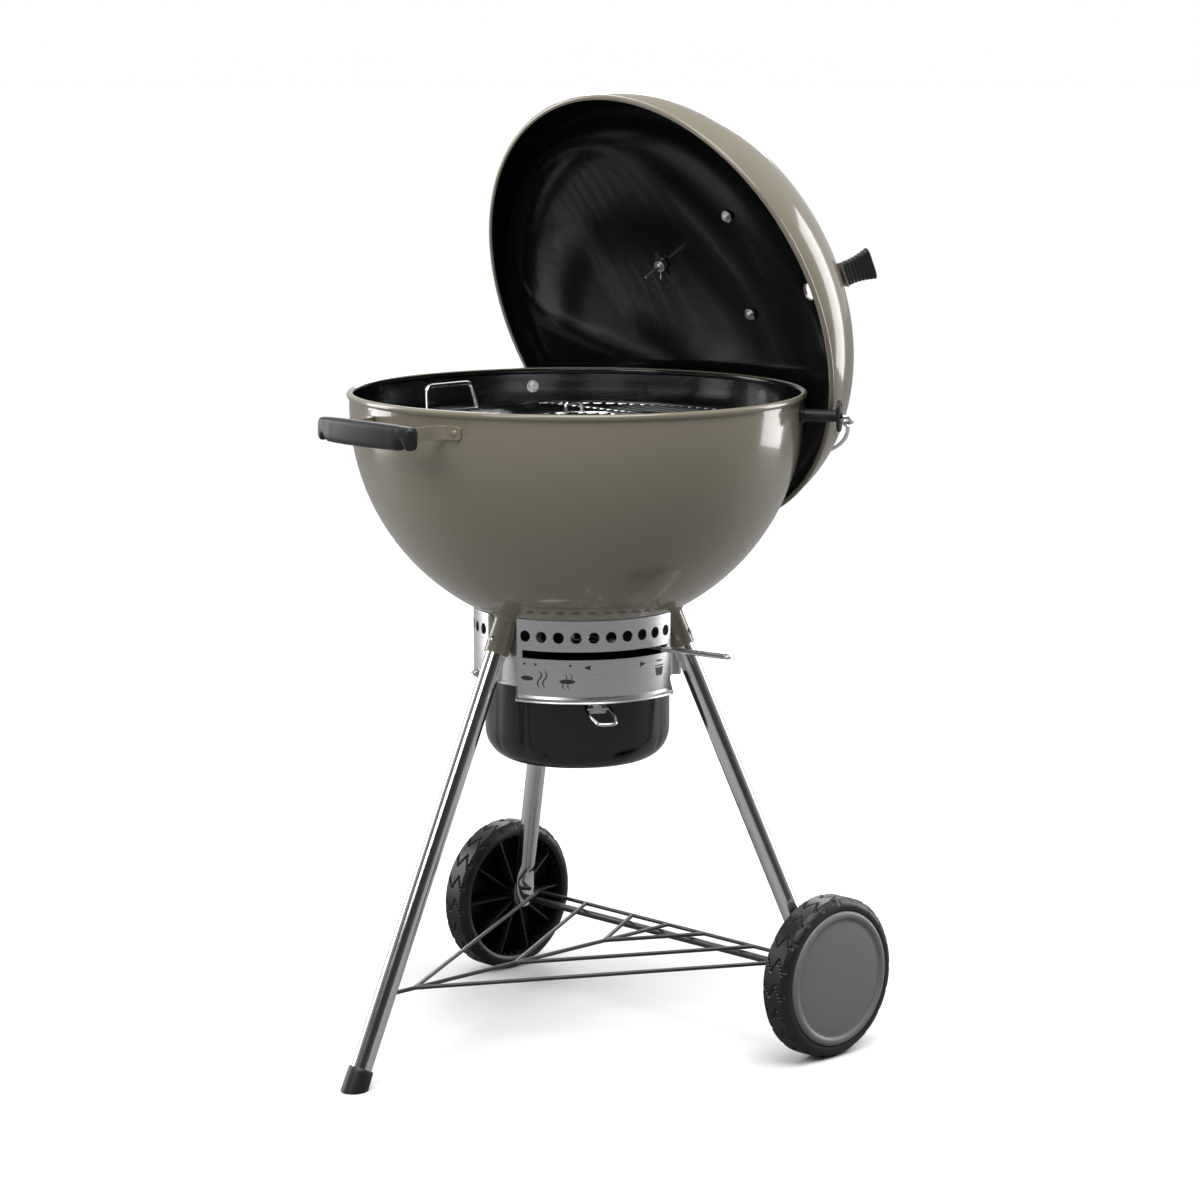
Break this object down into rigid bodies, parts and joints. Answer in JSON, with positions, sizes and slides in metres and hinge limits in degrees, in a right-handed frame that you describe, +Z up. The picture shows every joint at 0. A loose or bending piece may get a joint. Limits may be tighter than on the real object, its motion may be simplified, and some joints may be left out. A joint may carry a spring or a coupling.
{
  "type": "kettle charcoal grill",
  "caption": "Kettle charcoal grill on a wheeled tripod: round enamelled bowl, domed lid hung open in a wire lid holder, cooking grate, ash ring with sweeper, and a drop-down ash pot.",
  "frame": {"origin": "on the floor, under the middle of the whole object's box", "axes": "+Z up, +X from the capped leg towards the wheels and the hung lid, +Y along the axle"},
  "size_m": [0.76, 0.636, 1.1909],
  "materials": {
    "enamel": "glossy smoke-grey porcelain enamel",
    "black_enamel": "glossy black porcelain enamel",
    "nylon": "satin black glass-filled nylon",
    "hubcap": "satin grey plastic",
    "tyre": "hard black moulded plastic",
    "leg_tube": "polished",
    "brushed_ring": "brushed along the ring",
    "plated_wire": "bright plated wire",
    "grate_steel": "plain steel",
    "zinc": "zinc plated",
    "black_wire": "satin black coated wire"
  },
  "bodies": {
    "stand": {"bowl": "enamel", "bowl_handle_strap": "enamel", "bowl_handle_grip": "nylon", "leg_socket_capped": "enamel", "leg_socket_near": "enamel", "leg_socket_far": "enamel", "socket_screw_capped": "zinc", "socket_screw_near": "zinc", "socket_screw_far": "zinc", "leg_capped": "leg_tube", "leg_near": "leg_tube", "leg_far": "leg_tube", "foot_cap": "nylon", "axle": "black_wire", "axle_bracket_near": "hubcap", "axle_bracket_far": "hubcap", "axle_nut_near": "zinc", "axle_nut_far": "zinc", "wire_rack": "black_wire", "ash_ring": "brushed_ring", "ring_wing_screw_far": "zinc", "ring_wing_screw_near": "zinc", "grate_ledge_1": "grate_steel", "grate_ledge_2": "grate_steel", "grate_ledge_3": "grate_steel", "grate_ledge_4": "grate_steel", "holder_standoff_near": "nylon", "holder_standoff_far": "nylon", "holder_bolt_near": "zinc", "holder_bolt_far": "zinc"},
    "wheel_near": {"wheel_near": "tyre", "hubcap_near": "hubcap"},
    "wheel_far": {"wheel_far": "tyre", "hubcap_far": "hubcap"},
    "ash_pot": {"ash_pot": "black_enamel", "pot_handle_clip": "zinc"},
    "pot_handle": {"pot_handle": "plated_wire"},
    "sweeper": {"sweeper_blades": "black_enamel", "sweeper_lever": "plated_wire", "lever_nut": "zinc"},
    "charcoal_grate": {"charcoal_grate": "grate_steel"},
    "cooking_grate": {"cooking_grate": "plated_wire"},
    "grate_flap_front": {"grate_flap_front": "plated_wire"},
    "grate_flap_rear": {"grate_flap_rear": "plated_wire"},
    "grate_insert": {"grate_insert": "plated_wire"},
    "lid_holder": {"lid_holder_hoop": "plated_wire"},
    "lid": {"lid": "enamel", "damper_rivet": "zinc", "thermometer": "zinc", "thermometer_wing_nut": "zinc", "lid_heat_shield": "brushed_ring", "lid_handle": "nylon", "lid_handle_bolt_lower": "zinc", "lid_handle_bolt_upper": "zinc"},
    "damper": {"damper_disc": "brushed_ring", "damper_knob": "nylon"}
  },
  "joints": [
    {"name": "wheel_near_spin", "type": "hinge", "parent": "stand", "child": "wheel_near", "pos_m": [0.16066, -0.294, 0.1015], "axis": [0, 1, 0], "continuous": true},
    {"name": "wheel_far_spin", "type": "hinge", "parent": "stand", "child": "wheel_far", "pos_m": [0.16066, 0.294, 0.1015], "axis": [0, 1, 0], "continuous": true},
    {"name": "ash_pot_drop", "type": "slide", "parent": "stand", "child": "ash_pot", "axis": [0, 0, -1], "range_m": [0, 0.2]},
    {"name": "pot_handle_swing", "type": "hinge", "parent": "ash_pot", "child": "pot_handle", "pos_m": [-0.05262, -0.10287, 0.443], "axis": [0.848, -0.5299, 0], "range_deg": [-10, 50]},
    {"name": "sweeper_turn", "type": "hinge", "parent": "stand", "child": "sweeper", "pos_m": [0.01166, 0, 0.51], "axis": [0, 0, -1], "range_deg": [0, 80]},
    {"name": "charcoal_grate_lift", "type": "slide", "parent": "stand", "child": "charcoal_grate", "axis": [0, 0, 1], "range_m": [0, 0.1]},
    {"name": "cooking_grate_lift", "type": "slide", "parent": "stand", "child": "cooking_grate", "axis": [0, 0, 1], "range_m": [0, 0.12]},
    {"name": "grate_flap_front_fold", "type": "hinge", "parent": "cooking_grate", "child": "grate_flap_front", "pos_m": [-0.15134, 0, 0.778], "axis": [0, 1, 0], "range_deg": [0, 85]},
    {"name": "grate_flap_rear_fold", "type": "hinge", "parent": "cooking_grate", "child": "grate_flap_rear", "pos_m": [0.17466, 0, 0.778], "axis": [0, -1, 0], "range_deg": [0, 85]},
    {"name": "grate_insert_lift", "type": "slide", "parent": "cooking_grate", "child": "grate_insert", "axis": [0, 0, 1], "range_m": [0, 0.08]},
    {"name": "lid_holder_swing", "type": "hinge", "parent": "stand", "child": "lid_holder", "pos_m": [0.18473, 0, 0.8], "axis": [0, -1, 0], "range_deg": [-3, 26]},
    {"name": "lid_lift", "type": "slide", "parent": "stand", "child": "lid", "axis": [0.5373, 0, 0.8434], "range_m": [0, 0.4]},
    {"name": "damper_turn", "type": "hinge", "parent": "lid", "child": "damper", "pos_m": [0.28819, -0.148, 0.95898], "axis": [0.8936, -0.3216, 0.313], "range_deg": [0, 45]}
  ]
}
